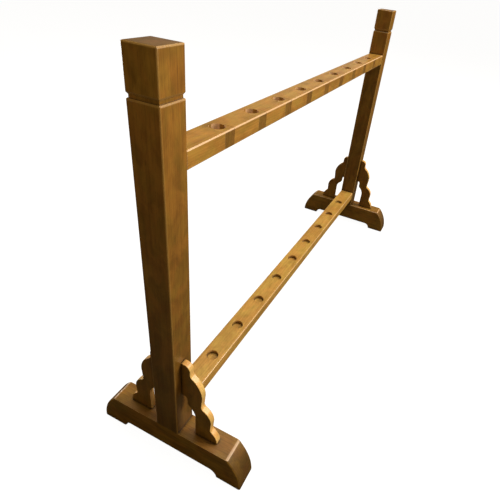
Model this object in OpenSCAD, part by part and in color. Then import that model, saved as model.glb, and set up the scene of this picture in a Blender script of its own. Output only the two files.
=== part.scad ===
// Standing rack for long poles: two posts on arched feet, joined by a holed
// upper rail and a socketed lower rail.
// X runs along the rails, Y along the feet (the keepers face -Y), Z is up.
// The origin is on the floor, in the middle of the rack.

/* [Overall] */
// Length from the outer face of one post to the outer face of the other
overall_l = 1533; // [1500:1:1800]
// Height from the floor to the top of the posts
overall_h = 1000; // [960:5:1200]

/* [Posts] */
// Side of the square post
post_w = 65; // [62:1:80]
// Height of the block above the groove
cap_h = 70; // [50:1:120]
// Height of the groove under the block
groove_h = 16; // [12:1:24]
// Depth of the groove
groove_d = 3.5; // [2:0.5:6]
// Rounding of the top of the post
crown_r = 4; // [2:0.5:8]

/* [Feet] */
// Length of a foot, from front to rear
foot_l = 436; // [420:2:560]
// Height of a foot
foot_h = 100; // [90:1:120]
// Width of a foot
foot_w = 65; // [60:1:80]
// Radius of the rounded ends of a foot
foot_end_r = 138; // [125:1:160]
// Length of the pad at each end of a foot
pad_l = 72; // [60:1:90]
// Height of the arch between the pads
arch_h = 21; // [15:1:30]

/* [Brackets] */
// Thickness of a bracket
bracket_t = 17; // [14:1:30]
// Radius of the rounded tip of a bracket
bracket_tip_r = 17; // [12:1:20]

/* [Rails] */
// Depth of a rail, from front to rear
rail_d = 61; // [56:1:62]
// Height of a rail
rail_h = 37; // [30:1:45]
// Height of the top of the upper rail
upper_rail_top = 831; // [780:1:860]
// Height of the top of the lower rail
lower_rail_top = 171; // [165:1:240]
// Length of the tenon at each end of a rail
tenon_l = 25; // [20:1:30]
// Rounding of the edges of posts and rails
edge_r = 3.5; // [2:0.5:5]

/* [Holes] */
// Number of places for poles
places = 9; // [9]
// Distance from one hole to the next
hole_pitch = 140; // [120:1:150]
// Diameter of the holes and sockets
hole_d = 34; // [28:1:36]
// Depth of the sockets, which is the thickness of the strip on the lower rail
socket_depth = 10; // [7:1:15]

/* [Keepers] */
// Width of a keeper at the front of the rail
keeper_w = 35; // [35:0.5:38]
// Extra width of each dovetail side at the rear of the keeper
keeper_flare = 3.5; // [2:0.5:5]
// Distance from the hole's axis to the rear of the keeper
keeper_back = 6; // [5:0.5:9]
// Height of the ledge that the dovetail rests on
ledge_h = 5; // [4:1:8]
// Gap on each side of the keeper
keeper_gap = 0.25; // [0.15:0.05:0.5]

/* [Fixings] */
// Diameter of the wooden dowels
dowel_d = 8; // [6:1:10]
// Length of the wooden dowels
dowel_l = 28; // [24:1:32]
// Diameter of the lag screws
screw_d = 10; // [8:1:10]
// Length of the lag screws under the head
screw_l = 113; // [100:1:120]
// Depth of the counterbore above the arch
counterbore_depth = 16; // [12:1:20]

/* [Hidden] */
$fn = 64;

// Overshoot of cutting bodies, so that no two faces coincide
cut = 1;

// Posts
post_x = (overall_l - post_w) / 2;
post_l = overall_h - foot_h;
groove_top = post_l - cap_h;
groove_bottom = groove_top - groove_h;
slope_h = 5; // underside of the block, sloping in to the neck
shoulder_h = 6; // round shoulder below the neck

// Rails
rail_l = overall_l - 2 * post_w;
tenon_side = 9;
tenon_cheek = 6;
tenon_w = rail_d - 2 * tenon_side;
tenon_h = rail_h - 2 * tenon_cheek;
tenon_gap = 0.2;
tenon_end_gap = 1;
seam = lower_rail_top - socket_depth;

// Holes
hole_r = hole_d / 2;

// Brackets: an edge starts with [flat top, radius of the tip, straight run below it],
// and each scallop below is [outward, down, straight run below it, lean of that run inward]
outer_tip = [7, bracket_tip_r, 11];
outer_steps = [[33, 62, 34, 3], [28, 46, 26, 2], [20, 40, 4, 0]];
inner_tip = [3, 12, 11];
inner_steps = [[22, 44, 64, 1]];
notch_r = 12;
bracket_h = edge_height(outer_tip, outer_steps);
foot_dowel_d = 68;
post_dowel_h = 175;

// Fixings
dowel_gap = 0.05;
dowel_end_gap = 1;
dowel_chamfer = 1;
screw_gap = 0.05;
screw_y = 17;
screw_x = 10;
screw_head_af = 16;
screw_head_h = 7;
screw_tip = 8;
screw_tip_r = 1;
washer_d = 24;
washer_t = 2.5;
counterbore_d = 28;
counterbore_top = arch_h + counterbore_depth;

function total_fall(steps, i = 0) =
    i == len(steps) ? 0 : steps[i][1] + steps[i][2] + total_fall(steps, i + 1);

function edge_height(tip, steps) = tip[1] + tip[2] + total_fall(steps);

function hole_x(i) = (i - (places + 1) / 2) * hole_pitch;

// A rectangle with round corners, centred on the origin
module rounded_rect(w, h, r) {
    square([w - 2 * r, h], center = true);
    square([w, h - 2 * r], center = true);
    for (sx = [-1, 1], sy = [-1, 1])
        translate([sx * (w / 2 - r), sy * (h / 2 - r)]) circle(r);
}

// A shape drawn in the YZ plane, extruded along X and centred there
module along_x(l) {
    translate([-l / 2, 0, 0]) rotate([90, 0, 90]) linear_extrude(l) children();
}

module along_y(l) {
    translate([0, l / 2, 0]) rotate([90, 0, 0]) linear_extrude(l) children();
}

// ---- Posts ----

// A round corner that ends deep inside the post's face and rises from height z
function round_corner(depth, height, z, steps = 8) =
    [for (i = [0 : steps]) let (a = 90 * i / steps)
        [post_w / 2 - depth * (1 - cos(a)), z + height * sin(a)]];

// One side of the post's outline, from the base to the middle of the top:
// the groove is a round shoulder, a straight neck and a slope
function post_side() = concat(
    [[post_w / 2, 0]],
    round_corner(groove_d, shoulder_h, groove_bottom),
    [[post_w / 2 - groove_d, groove_top - slope_h], [post_w / 2, groove_top]],
    round_corner(crown_r, crown_r, post_l - crown_r)
);

module post_outline() {
    side = post_side();
    n = len(side);
    polygon(concat(side, [for (i = [n - 1 : -1 : 0]) [-side[i][0], side[i][1]]]));
}

module post_body() {
    intersection() {
        linear_extrude(post_l) rounded_rect(post_w, post_w, edge_r);
        along_x(post_w + 2 * cut) post_outline();
        along_y(post_w + 2 * cut) post_outline();
    }
}

// A mortise opens on the post's +X face, z being the middle of the rail's height
module mortise(z) {
    depth = tenon_l + tenon_end_gap;
    translate([post_w / 2 - depth, -tenon_w / 2 - tenon_gap, z - foot_h - tenon_h / 2 - tenon_gap])
        cube([depth + cut, tenon_w + 2 * tenon_gap, tenon_h + 2 * tenon_gap]);
}

module dowel_bore() {
    depth = dowel_l / 2 + dowel_end_gap;
    translate([0, 0, -depth]) cylinder(h = depth + cut, d = dowel_d + 2 * dowel_gap);
}

// The post stands at the origin, with its rails on the +X side
module post() {
    difference() {
        post_body();
        mortise(upper_rail_top - rail_h / 2);
        mortise(lower_rail_top - rail_h / 2);
        for (s = [-1, 1]) {
            translate([0, s * post_w / 2, post_dowel_h]) rotate([-90 * s, 0, 0]) dowel_bore();
            translate([-screw_x, s * screw_y, -cut])
                cylinder(h = counterbore_top + screw_l - foot_h + dowel_end_gap + cut, d = screw_d + 2 * screw_gap);
        }
    }
}

// ---- Feet ----

module foot_outline() {
    centre = foot_l / 2 - foot_end_r;
    arch_y = foot_l / 2 - pad_l - arch_h;
    difference() {
        union() {
            translate([-centre, 0]) square([2 * centre, foot_h]);
            for (s = [-1, 1]) intersection() {
                translate([s * centre, 0]) circle(foot_end_r, $fn = 180);
                translate([s < 0 ? -foot_l / 2 : 0, 0]) square([foot_l / 2, foot_h]);
            }
        }
        translate([-arch_y, -cut]) square([2 * arch_y, arch_h + cut]);
        for (s = [-1, 1]) translate([s * arch_y, 0]) circle(arch_h);
    }
}

module foot() {
    difference() {
        along_x(foot_w) foot_outline();
        for (s = [-1, 1]) {
            translate([0, s * (post_w / 2 + foot_dowel_d), foot_h]) dowel_bore();
            translate([-screw_x, s * screw_y, 0]) {
                cylinder(h = foot_h + cut, d = screw_d + 2 * screw_gap);
                cylinder(h = counterbore_top, d = counterbore_d);
            }
        }
    }
}

// ---- Brackets ----

// Corners of one scallop: a notch curving outward, then a lobe curving down again
function scallop(at, w, fall, steps = 7) =
    let (turn = 2 * atan2(w, fall), lobe_r = w / (1 - cos(turn)) - notch_r)
    concat(
        [for (i = [1 : steps]) let (a = turn * i / steps)
            [at[0] + notch_r * (1 - cos(a)), at[1] - notch_r * sin(a)]],
        [for (i = [steps - 1 : -1 : 0]) let (a = turn * i / steps)
            [at[0] + w - lobe_r * (1 - cos(a)), at[1] - fall + lobe_r * sin(a)]]
    );

// Scallops one below the other, each followed by its straight run
function scallops(at, steps, i = 0) =
    i == len(steps) ? [] :
    let (s = steps[i], end = [at[0] + s[0] - s[3], at[1] - s[1] - s[2]])
    concat(scallop(at, s[0], s[1]), [end], scallops(end, steps, i + 1));

// Quarter round that turns from level to straight down
function shoulder(at, r, steps = 6) =
    [for (i = [0 : steps]) [at[0] + r * sin(90 * i / steps), at[1] - r * (1 - cos(90 * i / steps))]];

// An edge of the bracket from the post's face down to the foot, as [outward, up]
function bracket_edge(tip, steps) =
    let (h = edge_height(tip, steps), below = [tip[0] + tip[1], h - tip[1] - tip[2]])
    concat([[0, h]], shoulder([tip[0], h], tip[1]), [below], scallops(below, steps));

module bracket_outline() {
    outer = bracket_edge(outer_tip, outer_steps);
    inner = bracket_edge(inner_tip, inner_steps);
    n = len(inner);
    polygon(concat(outer, [for (i = [n - 1 : -1 : 0]) inner[i]]));
}

// The bracket stands on the origin, against a post on its -Y side
module bracket() {
    difference() {
        along_x(bracket_t) bracket_outline();
        translate([0, 0, post_dowel_h]) rotate([90, 0, 0]) dowel_bore();
        translate([0, foot_dowel_d, 0]) rotate([180, 0, 0]) dowel_bore();
    }
}

// ---- Rails ----

// A bar with its long edges and its ends rounded over
module rail_bar(l, top) {
    translate([0, 0, top - rail_h / 2]) intersection() {
        along_x(l) rounded_rect(rail_d, rail_h, edge_r);
        along_y(rail_d + 2 * cut) rounded_rect(l, rail_h, edge_r);
        linear_extrude(rail_h + 2 * cut, center = true) rounded_rect(l, rail_d, edge_r);
    }
}

module rail_body(top) {
    rail_bar(rail_l, top);
    translate([0, 0, top - rail_h / 2])
        cube([rail_l + 2 * tenon_l, tenon_w, tenon_h], center = true);
}

// Plan of a keeper, or of its slot when it is grown by a gap
module keeper_plan(flare, gap, front) {
    front_w = keeper_w / 2 + gap;
    rear_w = front_w + flare;
    rear = -keeper_back + gap;
    slope = flare / (rail_d / 2 - keeper_back);
    over = front * slope;
    polygon([
        [-front_w + over, -rail_d / 2 - front], [front_w - over, -rail_d / 2 - front],
        [rear_w, rear], [-rear_w, rear]
    ]);
}

module keeper_slot() {
    bottom = upper_rail_top - rail_h;
    translate([0, 0, bottom - cut])
        linear_extrude(rail_h + 2 * cut) keeper_plan(0, keeper_gap, cut);
    translate([0, 0, bottom + ledge_h])
        linear_extrude(rail_h - ledge_h + cut) keeper_plan(keeper_flare, keeper_gap, cut);
}

module pole_hole() {
    translate([0, 0, upper_rail_top - rail_h - cut]) cylinder(h = rail_h + 2 * cut, d = hole_d);
}

// The way into the hole from the slot, as wide as the hole
module hole_throat() {
    translate([-hole_r, -keeper_back, upper_rail_top - rail_h - cut])
        cube([hole_d, keeper_back, rail_h + 2 * cut]);
}

module upper_rail() {
    difference() {
        rail_body(upper_rail_top);
        for (i = [1 : places]) translate([hole_x(i), 0, 0]) {
            pole_hole();
            hole_throat();
            keeper_slot();
        }
    }
}

// The lower rail is glued up from two layers, the upper one bored right through
module lower_layer(bottom) {
    intersection() {
        rail_body(lower_rail_top);
        translate([-overall_l / 2, -rail_d / 2 - cut, bottom])
            cube([overall_l, rail_d + 2 * cut, rail_h]);
    }
}

module lower_rail() {
    lower_layer(seam - rail_h);
}

module socket_strip() {
    difference() {
        lower_layer(seam);
        for (i = [1 : places])
            translate([hole_x(i), 0, seam - cut]) cylinder(h = socket_depth + 2 * cut, d = hole_d);
    }
}

// Block that closes the slot in front of a hole and lifts out upwards
module keeper(i) {
    bottom = upper_rail_top - rail_h;
    color("saddlebrown") translate([hole_x(i), 0, 0]) intersection() {
        rail_bar(2 * keeper_w, upper_rail_top);
        difference() {
            union() {
                translate([0, 0, bottom]) linear_extrude(rail_h) keeper_plan(0, 0, 0);
                translate([0, 0, bottom + ledge_h])
                    linear_extrude(rail_h - ledge_h) keeper_plan(keeper_flare, 0, 0);
            }
            pole_hole();
        }
    }
}

// ---- Fixings ----

module dowel() {
    half = dowel_l / 2;
    r = dowel_d / 2;
    rotate_extrude() polygon([
        [0, -half], [r - dowel_chamfer, -half], [r, -half + dowel_chamfer],
        [r, half - dowel_chamfer], [r - dowel_chamfer, half], [0, half]
    ]);
}

module lag_screw() {
    translate([0, 0, counterbore_top]) {
        translate([0, 0, -washer_t]) cylinder(h = screw_l + washer_t - screw_tip, d = screw_d);
        translate([0, 0, screw_l - screw_tip]) rotate_extrude()
            polygon([[0, 0], [screw_d / 2, 0], [screw_tip_r, screw_tip], [0, screw_tip]]);
        translate([0, 0, -washer_t - screw_head_h])
            cylinder(h = screw_head_h, d = screw_head_af / cos(30), $fn = 6);
    }
}

module washer() {
    translate([0, 0, counterbore_top - washer_t]) difference() {
        cylinder(h = washer_t, d = washer_d);
        translate([0, 0, -cut]) cylinder(h = washer_t + 2 * cut, d = screw_d + 2 * screw_gap);
    }
}

// ---- Placing ----

// side is -1 for the left end and 1 for the right end, and a post's rails are on its +X side
module at_end(side) {
    translate([side * post_x, 0, 0]) mirror([side > 0 ? 1 : 0, 0, 0]) children();
}

module at_bracket(side, front) {
    at_end(side) mirror([0, front ? 1 : 0, 0]) translate([0, post_w / 2, foot_h]) children();
}

module placed_post(side) {
    color("peru") at_end(side) translate([0, 0, foot_h]) post();
}

module placed_foot(side) {
    color("sienna") at_end(side) foot();
}

module placed_bracket(side, front) {
    color("burlywood") at_bracket(side, front) bracket();
}

module upper_rail_part() {
    color("goldenrod") upper_rail();
}

module lower_rail_part() {
    color("goldenrod") lower_rail();
}

module socket_strip_part() {
    color("gold") socket_strip();
}

module bracket_dowels() {
    color("wheat") for (side = [-1, 1], front = [true, false]) at_bracket(side, front) {
        translate([0, 0, post_dowel_h]) rotate([90, 0, 0]) dowel();
        translate([0, foot_dowel_d, 0]) dowel();
    }
}

module at_screws() {
    for (side = [-1, 1], s = [-1, 1]) at_end(side) translate([-screw_x, s * screw_y, 0]) children();
}

module lag_screws() {
    color("silver") at_screws() lag_screw();
}

module screw_washers() {
    color("gray") at_screws() washer();
}

placed_post(-1);  // left_post
placed_post(1);  // right_post
placed_foot(-1);  // left_foot
placed_foot(1);  // right_foot
placed_bracket(-1, true);  // left_front_bracket
placed_bracket(-1, false);  // left_rear_bracket
placed_bracket(1, true);  // right_front_bracket
placed_bracket(1, false);  // right_rear_bracket
upper_rail_part();  // upper_rail
lower_rail_part();  // lower_rail
socket_strip_part();  // socket_strip
keeper(1);  // keeper_1
keeper(2);  // keeper_2
keeper(3);  // keeper_3
keeper(4);  // keeper_4
keeper(5);  // keeper_5
keeper(6);  // keeper_6
keeper(7);  // keeper_7
keeper(8);  // keeper_8
keeper(9);  // keeper_9
bracket_dowels();
lag_screws();
screw_washers();
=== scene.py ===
"""Standing rack for long poles: finish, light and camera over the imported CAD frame."""

import math

import bpy
from mathutils import Matrix, Vector


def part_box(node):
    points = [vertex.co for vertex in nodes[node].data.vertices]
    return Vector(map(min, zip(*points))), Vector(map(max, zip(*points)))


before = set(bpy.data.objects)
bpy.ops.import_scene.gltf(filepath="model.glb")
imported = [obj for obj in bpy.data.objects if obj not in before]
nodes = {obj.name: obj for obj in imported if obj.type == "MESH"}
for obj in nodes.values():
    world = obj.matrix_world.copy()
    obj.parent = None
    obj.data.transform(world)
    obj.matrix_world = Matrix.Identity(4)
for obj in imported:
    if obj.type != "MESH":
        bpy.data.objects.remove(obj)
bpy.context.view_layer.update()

# ---- Names of the pieces ----
POSTS = ["left_post", "right_post"]
FEET = ["left_foot", "right_foot"]
BRACKETS = [f"{side}_{end}_bracket" for side in ("left", "right") for end in ("front", "rear")]
KEEPERS = [f"keeper_{i}" for i in range(1, 10)]
MM = 0.001


# ---- Small helpers for node trees ----
class Tree:
    """A node tree, with one short call for each kind of node."""

    def __init__(self, tree):
        self.nt = tree
        self.nt.nodes.clear()

    def add(self, kind, inputs=None, **settings):
        node = self.nt.nodes.new(kind)
        for key, value in settings.items():
            setattr(node, key, value)
        for key, value in (inputs or {}).items():
            self.feed(node.inputs[key], value)
        return node

    def feed(self, socket, value):
        if isinstance(value, bpy.types.NodeSocket):
            self.nt.links.new(value, socket)
        elif isinstance(value, bpy.types.Node):
            self.nt.links.new(value.outputs[0], socket)
        else:
            socket.default_value = value

    def math(self, operation, a, b=0.0, clamp=False):
        node = self.add("ShaderNodeMath", {0: a, 1: b}, operation=operation, use_clamp=clamp)
        return node.outputs[0]

    def vector(self, operation, a, b=(0.0, 0.0, 0.0)):
        node = self.add("ShaderNodeVectorMath", {0: a, 1: b}, operation=operation)
        return node.outputs["Value" if operation == "LENGTH" else "Vector"]

    def noise(self, place, frequency, detail=3.0, rough=0.55, distortion=0.0):
        return self.add("ShaderNodeTexNoise", {
            "Vector": self.vector("MULTIPLY", place, frequency), "Scale": 1.0,
            "Detail": detail, "Roughness": rough, "Distortion": distortion}).outputs["Fac"]

    def spread(self, value, low, high, to_low=0.0, to_high=1.0, smooth=True):
        node = self.add("ShaderNodeMapRange", {
            "Value": value, "From Min": low, "From Max": high,
            "To Min": to_low, "To Max": to_high})
        node.interpolation_type = "SMOOTHSTEP" if smooth else "LINEAR"
        return node.outputs["Result"]

    def mix(self, factor, a, b, blend="MIX"):
        node = self.add("ShaderNodeMix", data_type="RGBA", blend_type=blend)
        for index, value in ((0, factor), (6, a), (7, b)):
            self.feed(node.inputs[index], value)
        return node.outputs[2]

    def dim(self, colour, share):
        grey = self.add("ShaderNodeCombineColor", {0: share, 1: share, 2: share}).outputs[0]
        return self.mix(1.0, colour, grey, "MULTIPLY")

    def output(self, shader):
        self.add("ShaderNodeOutputMaterial", {"Surface": shader})


def new_material(name):
    material = bpy.data.materials.new(name)
    material.use_nodes = True
    return material


# ---- Wood ----
# For each grain axis, the row-frame axes that become across, across and along.
AXES = {"X": (1, 2, 0), "Y": (2, 0, 1), "Z": (0, 1, 2)}
RING = 5.5 * MM
PITH = (0.11, 0.05)
# Pattern frequencies, per metre: across, across and along the grain.
WAVER = (4.0, 4.0, 1.6)
FIBRE = (520.0, 520.0, 9.0)
PORE = (1500.0, 1500.0, 42.0)
BLOTCH = (26.0, 26.0, 15.0)
STREAK = (120.0, 120.0, 2.6)
HUE = (30.0, 30.0, 20.0)
KNOT = (11.0, 11.0, 4.5)
# How far the rings waver, and how much each pattern darkens the stain.
SWAY = (0.055, 0.055, 0.0)
LATE_SHARE, STREAK_SHARE, BLOTCH_SHARE, FIBRE_SHARE = 0.16, 0.34, 0.46, 0.40
BASE_SHIFT = 0.06
# Tints over the stain, and how dark the pores and knots are against it.
REDDER = (1.05, 0.95, 0.90, 1.0)
GREENER = (0.98, 1.01, 0.90, 1.0)
PORE_DARK, PORE_COVER, KNOT_DARK = 0.35, 0.45, 0.45
# Wear and painted light: the pale colour of rounded edges, partly wear and partly a painted
# highlight, and the reach and depth of the painted shade in corners.
PALE_WEAR_AND_HIGHLIGHT = (0.95, 0.62, 0.36)
CORNER_SHADE_REACH = 9 * MM
CORNER_SHADE_DEPTH = 0.32
SHADE_FROM, SHADE_TO = 0.15, 0.95
BUMP_STRENGTH, BUMP_DEPTH = 0.14, 0.5 * MM
COAT_ROUGH = 0.26
COAT_TINT = (1.0, 0.97, 0.92, 1.0)


def shaded(colour, share):
    return (*[v * share for v in colour], 1.0)


def wood(name, grain, light, dark, seed, end_tone=0.55, coat=0.30, rough=0.36, edge_rub_and_highlight=0.0,
         crest_highlight=0.0, knots=0.0, low_painted_shade=1.0, rim_highlight=None, worn_and_highlight=PALE_WEAR_AND_HIGHLIGHT):
    """Stained and lacquered wood whose rings and fibres run along one axis of the row frame.

    light and dark are the two ends of the stain, and rim_highlight is the same pair for the painted
    highlight on edges that do not face along X.
    edge_rub_and_highlight is how pale rounded edges are painted, partly as wear and partly as a
    painted highlight, crest_highlight is a painted highlight on a foot's crests, worn_and_highlight
    is their pale colour, and low_painted_shade is how dark the painted shade gets at the bottom of
    a post.
    """
    material = new_material(name)
    t = Tree(material.node_tree)
    here = t.add("ShaderNodeTexCoord")
    parts = t.add("ShaderNodeSeparateXYZ", {0: here.outputs["Object"]})
    a, b, c = AXES[grain]
    along = t.add("ShaderNodeCombineXYZ", {
        0: parts.outputs[a], 1: parts.outputs[b], 2: parts.outputs[c]}).outputs[0]
    shift = (seed * 1.37 % 1.0, seed * 2.71 % 1.0, seed * 3.93 % 1.0)
    placed = t.vector("ADD", along, shift)

    # growth rings round a pith beside the piece, wavering along the grain
    waver = t.add("ShaderNodeTexNoise", {
        "Vector": t.vector("MULTIPLY", placed, WAVER), "Scale": 1.0, "Detail": 2.0})
    sway = t.vector("MULTIPLY", t.vector("SUBTRACT", waver.outputs["Color"], (0.5, 0.5, 0.5)),
                    SWAY)
    ringed = t.vector("ADD", t.vector("SUBTRACT", along, (*PITH, 0.0)), sway)
    radius = t.vector("LENGTH", t.vector("MULTIPLY", ringed, (1.0, 1.0, 0.0)))
    phase = t.math("FRACT", t.math("DIVIDE", radius, RING))
    late = t.math("MULTIPLY", t.spread(phase, 0.25, 0.92), t.spread(phase, 1.0, 0.93))

    fibre = t.noise(placed, FIBRE, detail=4.0, rough=0.6)
    streak = t.noise(placed, STREAK, detail=4.0, rough=0.65, distortion=0.3)
    blotch = t.noise(placed, BLOTCH, detail=3.0, rough=0.6, distortion=0.8)
    hue = t.noise(placed, HUE, detail=2.0, rough=0.5, distortion=0.5)
    pores = t.spread(t.noise(placed, PORE, detail=2.0), 0.60, 0.70)

    # light to dark stain
    tone = t.math("ADD", t.math("MULTIPLY", late, LATE_SHARE),
                  t.math("MULTIPLY", t.spread(streak, 0.30, 0.72), STREAK_SHARE))
    tone = t.math("ADD", tone, t.math("MULTIPLY", t.spread(blotch, 0.34, 0.66), BLOTCH_SHARE))
    tone = t.math("ADD", tone, t.math("MULTIPLY", t.math("SUBTRACT", fibre, 0.5), FIBRE_SHARE))
    tone = t.math("SUBTRACT", tone, BASE_SHIFT, clamp=True)
    colour = t.mix(tone, (*light, 1.0), (*dark, 1.0))
    normal = here.outputs["Normal"]
    turned = t.add("ShaderNodeSeparateXYZ", {0: t.vector("ABSOLUTE", normal)})
    # painted highlight: faces of a slab that do not face along X get a paler pair of tones
    if rim_highlight:
        rim_highlight_colour = t.mix(tone, (*rim_highlight[0], 1.0), (*rim_highlight[1], 1.0))
        colour = t.mix(t.spread(turned.outputs[0], 0.3, 0.7), rim_highlight_colour, colour)
    redder = t.mix(1.0, colour, REDDER, "MULTIPLY")
    greener = t.mix(1.0, colour, GREENER, "MULTIPLY")
    colour = t.mix(t.spread(hue, 0.36, 0.64), greener, redder)
    colour = t.mix(t.math("MULTIPLY", pores, PORE_COVER), colour, shaded(dark, PORE_DARK))
    if knots:
        cells = t.add("ShaderNodeTexVoronoi", {
            "Vector": t.vector("MULTIPLY", placed, KNOT), "Scale": 1.0, "Randomness": 1.0})
        core = t.spread(cells.outputs["Distance"], 0.16, 0.04, 0.0, knots)
        colour = t.mix(core, colour, shaded(dark, KNOT_DARK))

    # end grain drinks more stain
    end = t.spread(turned.outputs[c], 0.55, 0.98)
    soaked = (end_tone, end_tone * 0.94, end_tone * 0.75, 1.0)
    colour = t.mix(end, colour, t.mix(1.0, colour, soaked, "MULTIPLY"))

    # painted shade darkens the corners, joints and creases where shade falls, and the rounded edges
    # are painted lighter, partly as wear and partly as a painted highlight
    corner_shade = t.add("ShaderNodeAmbientOcclusion", {"Distance": CORNER_SHADE_REACH}, samples=8)
    # painted shade: the colour is darkened where nearby surfaces close in, in place of the shade in
    # corners and joints
    colour = t.dim(colour, t.spread(corner_shade.outputs["AO"], 0.48, 0.98, CORNER_SHADE_DEPTH, 1.0))
    # painted shade: the colour gets darker towards the bottom of a post, in place of light that
    # falls off lower down
    if low_painted_shade != 1.0:
        colour = t.dim(colour, t.spread(parts.outputs[2], SHADE_FROM, SHADE_TO, low_painted_shade, 1.0,
                                        smooth=False))
    # painted highlight and wear: rounded edges away from the corners get a pale colour
    widest = t.math("MAXIMUM", t.math("MAXIMUM", turned.outputs[0], turned.outputs[1]),
                    turned.outputs[2])
    open_edge = t.spread(corner_shade.outputs["AO"], 0.72, 0.92)
    rubbed_and_highlight = t.math("MULTIPLY", t.spread(widest, 0.998, 0.94, 0.0, edge_rub_and_highlight), open_edge)
    # painted highlight: the crest of a foot, between its top and its rounded end, gets a pale
    # streak
    if crest_highlight:
        up = t.add("ShaderNodeSeparateXYZ", {0: normal}).outputs[2]
        rubbed_and_highlight = t.math("MULTIPLY", t.spread(up, 0.75, 0.83), t.spread(up, 0.995, 0.96, 0.0, crest_highlight))
    colour = t.mix(rubbed_and_highlight, colour, (*worn_and_highlight, 1.0))
    gloss = t.math("ADD", t.math("MULTIPLY", rubbed_and_highlight, 0.5), 0.35)

    height = t.math("SUBTRACT", t.math("MULTIPLY", fibre, 0.5), pores)
    height = t.math("SUBTRACT", height, t.math("MULTIPLY", late, 0.25))
    bump = t.add("ShaderNodeBump", {
        "Height": height, "Strength": BUMP_STRENGTH, "Distance": BUMP_DEPTH})
    roughness = t.math("ADD", t.math("MULTIPLY", streak, 0.14),
                       t.math("ADD", t.math("MULTIPLY", end, 0.12), rough - 0.07))
    t.output(t.add("ShaderNodeBsdfPrincipled", {
        "Base Color": colour, "Roughness": roughness, "Normal": bump,
        "Specular IOR Level": gloss, "Coat Weight": coat, "Coat Roughness": COAT_ROUGH,
        "Coat Tint": COAT_TINT}))
    return material


# ---- Metal ----
SPANGLE = (260.0, 260.0, 260.0)
SCRATCH = (1400.0, 1400.0, 90.0)
ZINC_LIGHT, ZINC_DARK = (0.62, 0.64, 0.66, 1.0), (0.40, 0.41, 0.43, 1.0)


def zinc(name):
    """Zinc-plated steel with faint spangles and fine scratches."""
    material = new_material(name)
    t = Tree(material.node_tree)
    here = t.add("ShaderNodeTexCoord").outputs["Object"]
    spangle = t.noise(here, SPANGLE)
    scratch = t.noise(here, SCRATCH, detail=2.0)
    colour = t.mix(spangle, ZINC_LIGHT, ZINC_DARK)
    bump = t.add("ShaderNodeBump", {"Height": scratch, "Strength": 0.15, "Distance": 0.1 * MM})
    t.output(t.add("ShaderNodeBsdfPrincipled", {
        "Base Color": colour, "Metallic": 1.0, "Normal": bump,
        "Roughness": t.spread(scratch, 0.2, 0.8, 0.28, 0.48)}))
    return material


# ---- Shapes: ease the edges of the CAD nodes, by modifiers only ----
SHARP = math.radians(28.0)
FLAT = math.radians(0.6)
TINY = 0.02 * MM


def smooth_outline(node, outline):
    """Geometry nodes that shade a node smooth and, for a slab, mark the outline of its X faces."""
    group = bpy.data.node_groups.new(f"{node}_outline", "GeometryNodeTree")
    for direction in ("INPUT", "OUTPUT"):
        group.interface.new_socket("Geometry", in_out=direction, socket_type="NodeSocketGeometry")
    t = Tree(group)
    shape = t.add("GeometryNodeSetShadeSmooth", {0: t.add("NodeGroupInput").outputs[0]}).outputs[0]
    if outline:
        low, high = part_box(node)
        middle = (low.x + high.x) / 2
        ends = t.add("GeometryNodeInputMeshEdgeVertices")
        reach = [t.math("ABSOLUTE", t.math("SUBTRACT", t.add("ShaderNodeSeparateXYZ", {
            0: ends.outputs[f"Position {k}"]}).outputs[0], middle)) for k in (1, 2)]
        on_face = t.math("GREATER_THAN", t.math("MINIMUM", *reach), (high.x - low.x) / 2 - TINY)
        bend = t.add("GeometryNodeInputMeshEdgeAngle").outputs["Unsigned Angle"]
        weight = t.math("MULTIPLY", on_face, t.math("GREATER_THAN", bend, SHARP))
        shape = t.add("GeometryNodeStoreNamedAttribute", {
            "Geometry": shape, "Name": "bevel_weight_edge", "Value": weight},
            data_type="FLOAT", domain="EDGE").outputs[0]
    t.add("NodeGroupOutput", {0: shape})
    return group


def ease(node, width, segments=3, outline=False):
    """Join the facets of flat faces, then round the sharp edges, or only the outline of a slab."""
    obj = nodes[node]
    weld = obj.modifiers.new("weld", "WELD")
    weld.merge_threshold = TINY
    flat = obj.modifiers.new("flat", "DECIMATE")
    flat.decimate_type = "DISSOLVE"
    flat.angle_limit = FLAT
    marks = obj.modifiers.new("marks", "NODES")
    marks.node_group = smooth_outline(node, outline)
    bevel = obj.modifiers.new("ease", "BEVEL")
    bevel.width = width
    bevel.segments = segments
    bevel.limit_method = "WEIGHT" if outline else "ANGLE"
    bevel.angle_limit = SHARP
    bevel.use_clamp_overlap = not outline
    shading = obj.modifiers.new("shading", "WEIGHTED_NORMAL")
    shading.weight = 100
    shading.keep_sharp = outline


def paint(node, material):
    for slot in nodes[node].material_slots:
        slot.material = material


EASED = {"post": 0.8 * MM, "foot": 4.5 * MM, "bracket": 1.8 * MM, "rail": 0.9 * MM,
         "keeper": 0.7 * MM}
for name in FEET:
    ease(name, EASED["foot"], 4, outline=True)
for name in BRACKETS:
    ease(name, EASED["bracket"], outline=True)
for name in POSTS:
    ease(name, EASED["post"], 2)
for name in ["upper_rail", "lower_rail", "socket_strip"]:
    ease(name, EASED["rail"], 2)
for name in KEEPERS:
    ease(name, EASED["keeper"], 2)

# ---- Finish of each piece ----
# Pale colour of the posts' rounded edges, partly wear and partly a painted highlight.
POST_WEAR_AND_HIGHLIGHT = (0.80, 0.47, 0.13)
POST_TONES = ((0.42, 0.204, 0.032), (0.19, 0.084, 0.011))
FOOT_TONES = ((0.33, 0.164, 0.023), (0.145, 0.067, 0.008))
BRACKET_TONES = ((0.29, 0.142, 0.021), (0.125, 0.057, 0.008))
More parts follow.
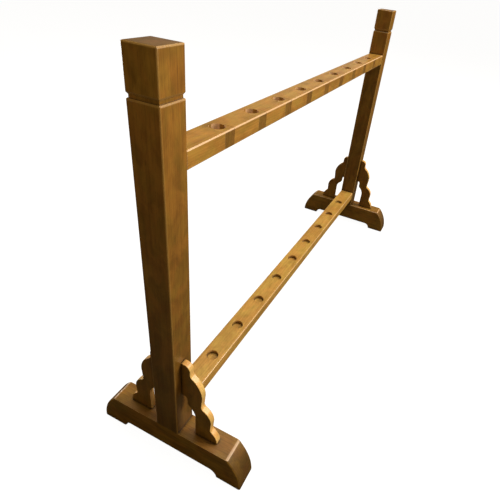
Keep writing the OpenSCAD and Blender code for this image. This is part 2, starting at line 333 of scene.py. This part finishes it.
# Paler tones painted on the bracket edges as a highlight.
BRACKET_RIM_HIGHLIGHT = ((0.94, 0.590, 0.210), (0.66, 0.370, 0.100))
RAIL_TONES = ((0.57, 0.305, 0.060), (0.29, 0.135, 0.022))
LOWER_TONES = ((0.65, 0.385, 0.090), (0.36, 0.182, 0.033))
DOWEL_TONES = ((0.62, 0.44, 0.24), (0.42, 0.27, 0.13))

for k, name in enumerate(POSTS):
    paint(name, wood(f"{name}_wood", "Z", *POST_TONES, seed=0.31 + k, edge_rub_and_highlight=0.30, low_painted_shade=0.47,
                     worn_and_highlight=POST_WEAR_AND_HIGHLIGHT))
for k, name in enumerate(FEET):
    paint(name, wood(f"{name}_wood", "Y", *FOOT_TONES, seed=2.17 + k, end_tone=0.40, coat=0.12,
                     rough=0.46, crest_highlight=0.42, knots=0.5))
for k, name in enumerate(BRACKETS):
    paint(name, wood(f"{name}_wood", "Z", *BRACKET_TONES, seed=4.41 + k, end_tone=0.95,
                     rim_highlight=BRACKET_RIM_HIGHLIGHT))
lower_wood = wood("lower_rail_wood", "X", *LOWER_TONES, seed=9.2, end_tone=0.9, edge_rub_and_highlight=0.3, knots=0.7)
paint("upper_rail", wood("upper_rail_wood", "X", *RAIL_TONES, seed=8.6, end_tone=0.9, edge_rub_and_highlight=0.7,
                         knots=0.6))
paint("lower_rail", lower_wood)
paint("socket_strip", lower_wood)
for k, name in enumerate(KEEPERS):
    paint(name, wood(f"{name}_wood", "Y", *RAIL_TONES, seed=10.3 + k, end_tone=0.55,
                     edge_rub_and_highlight=0.7))
paint("bracket_dowels", wood("dowel_wood", "Z", *DOWEL_TONES, seed=20.5))
zinc_steel = zinc("zinc_steel")
paint("lag_screws", zinc_steel)
paint("screw_washers", zinc_steel)

# ---- Floor and light ----
FLOOR_SIDE = 160.0
FLOOR_GLOW = 0.96
FLOOR_SHADE = 0.20
FLOOR_BOUNCE = (0.090, 0.075, 0.045)
FLOOR_MOTTLE = 1.05


def floor_material():
    """White paper to the camera, but a dim warm floor to the light that it bounces."""
    material = new_material("floor_paper")
    t = Tree(material.node_tree)
    here = t.add("ShaderNodeTexCoord").outputs["Object"]
    mottle = t.noise(here, (2.0, 2.0, 2.0), detail=2.0)
    grey = (FLOOR_SHADE,) * 3
    pale = t.mix(mottle, (*grey, 1.0), shaded(grey, FLOOR_MOTTLE))
    seen = t.add("ShaderNodeBsdfDiffuse", {"Color": pale})
    glow = t.add("ShaderNodeEmission", {"Color": (1, 1, 1, 1), "Strength": FLOOR_GLOW})
    lit = t.add("ShaderNodeAddShader", {0: seen, 1: glow})
    bounce = t.add("ShaderNodeBsdfDiffuse", {"Color": (*FLOOR_BOUNCE, 1.0)})
    path = t.add("ShaderNodeLightPath")
    t.output(t.add("ShaderNodeMixShader", {0: path.outputs["Is Camera Ray"], 1: bounce, 2: lit}))
    return material


bpy.ops.mesh.primitive_plane_add(size=FLOOR_SIDE)
floor = bpy.context.object
floor.name = "floor"
floor.data.materials.append(floor_material())

WORLD_AMBIENT = (0.108, 0.082, 0.032)
world = bpy.data.worlds.new("studio")
bpy.context.scene.world = world
world.use_nodes = True
wt = Tree(world.node_tree)
room = wt.add("ShaderNodeBackground", {"Color": (*WORLD_AMBIENT, 1.0), "Strength": 1.0})
paper = wt.add("ShaderNodeBackground", {"Color": (1, 1, 1, 1), "Strength": 1.0})
look = wt.add("ShaderNodeLightPath")
blend = wt.add("ShaderNodeMixShader", {0: look.outputs["Is Camera Ray"], 1: room, 2: paper})
wt.add("ShaderNodeOutputWorld", {"Surface": blend})


def softbox(name, place, aim, size, power, colour):
    light = bpy.data.lights.new(name, "AREA")
    light.shape = "RECTANGLE"
    light.size, light.size_y = size
    light.energy = power
    light.color = colour
    obj = bpy.data.objects.new(name, light)
    bpy.context.scene.collection.objects.link(obj)
    obj.location = place
    obj.rotation_euler = (Vector(aim) - Vector(place)).to_track_quat("-Z", "Y").to_euler()


MIDDLE = (0.0, 0.0, 0.5)
softbox("key", (1.8, -3.9, 3.0), MIDDLE, (2.0, 2.0), 215.0, (1.0, 0.95, 0.86))
softbox("top", (0.6, -0.2, 3.6), MIDDLE, (2.6, 2.6), 74.0, (1.0, 0.96, 0.90))
softbox("fill", (-1.8, -1.0, 1.5), (-0.7, 0.0, 0.6), (0.6, 0.6), 5.2, (1.0, 0.92, 0.78))
softbox("backdrop", (4.6, 1.9, 1.6), MIDDLE, (5.0, 1.1), 6.5, (1.0, 0.98, 0.95))
softbox("rear", (0.4, 4.2, 0.7), MIDDLE, (2.4, 1.2), 58.0, (1.0, 0.97, 0.92))

# ---- Camera: the angle of the picture being matched ----
CAMERA_AT = Vector((-1.2529, -0.4372, 1.1059))
HEADING = math.radians(22.21)
DOWN = math.radians(32.97)
ROLL = math.radians(6.655)
SENSOR, LENS = 36.0, 30.14
SHIFT = (-0.0532, -0.0208)
forward = Vector((math.cos(DOWN) * math.cos(HEADING), math.cos(DOWN) * math.sin(HEADING),
                  -math.sin(DOWN)))
level = Vector((math.sin(HEADING), -math.cos(HEADING), 0.0))
upright = level.cross(forward)
right = level * math.cos(ROLL) + upright * math.sin(ROLL)
up = upright * math.cos(ROLL) - level * math.sin(ROLL)
camera_data = bpy.data.cameras.new("camera")
camera_data.sensor_width = SENSOR
camera_data.lens = LENS
camera_data.shift_x, camera_data.shift_y = SHIFT
camera = bpy.data.objects.new("camera", camera_data)
bpy.context.scene.collection.objects.link(camera)
turn = Matrix((right, up, -forward)).transposed().to_4x4()
camera.matrix_world = Matrix.Translation(CAMERA_AT) @ turn
bpy.context.scene.camera = camera
bpy.context.scene.view_settings.view_transform = "Standard"
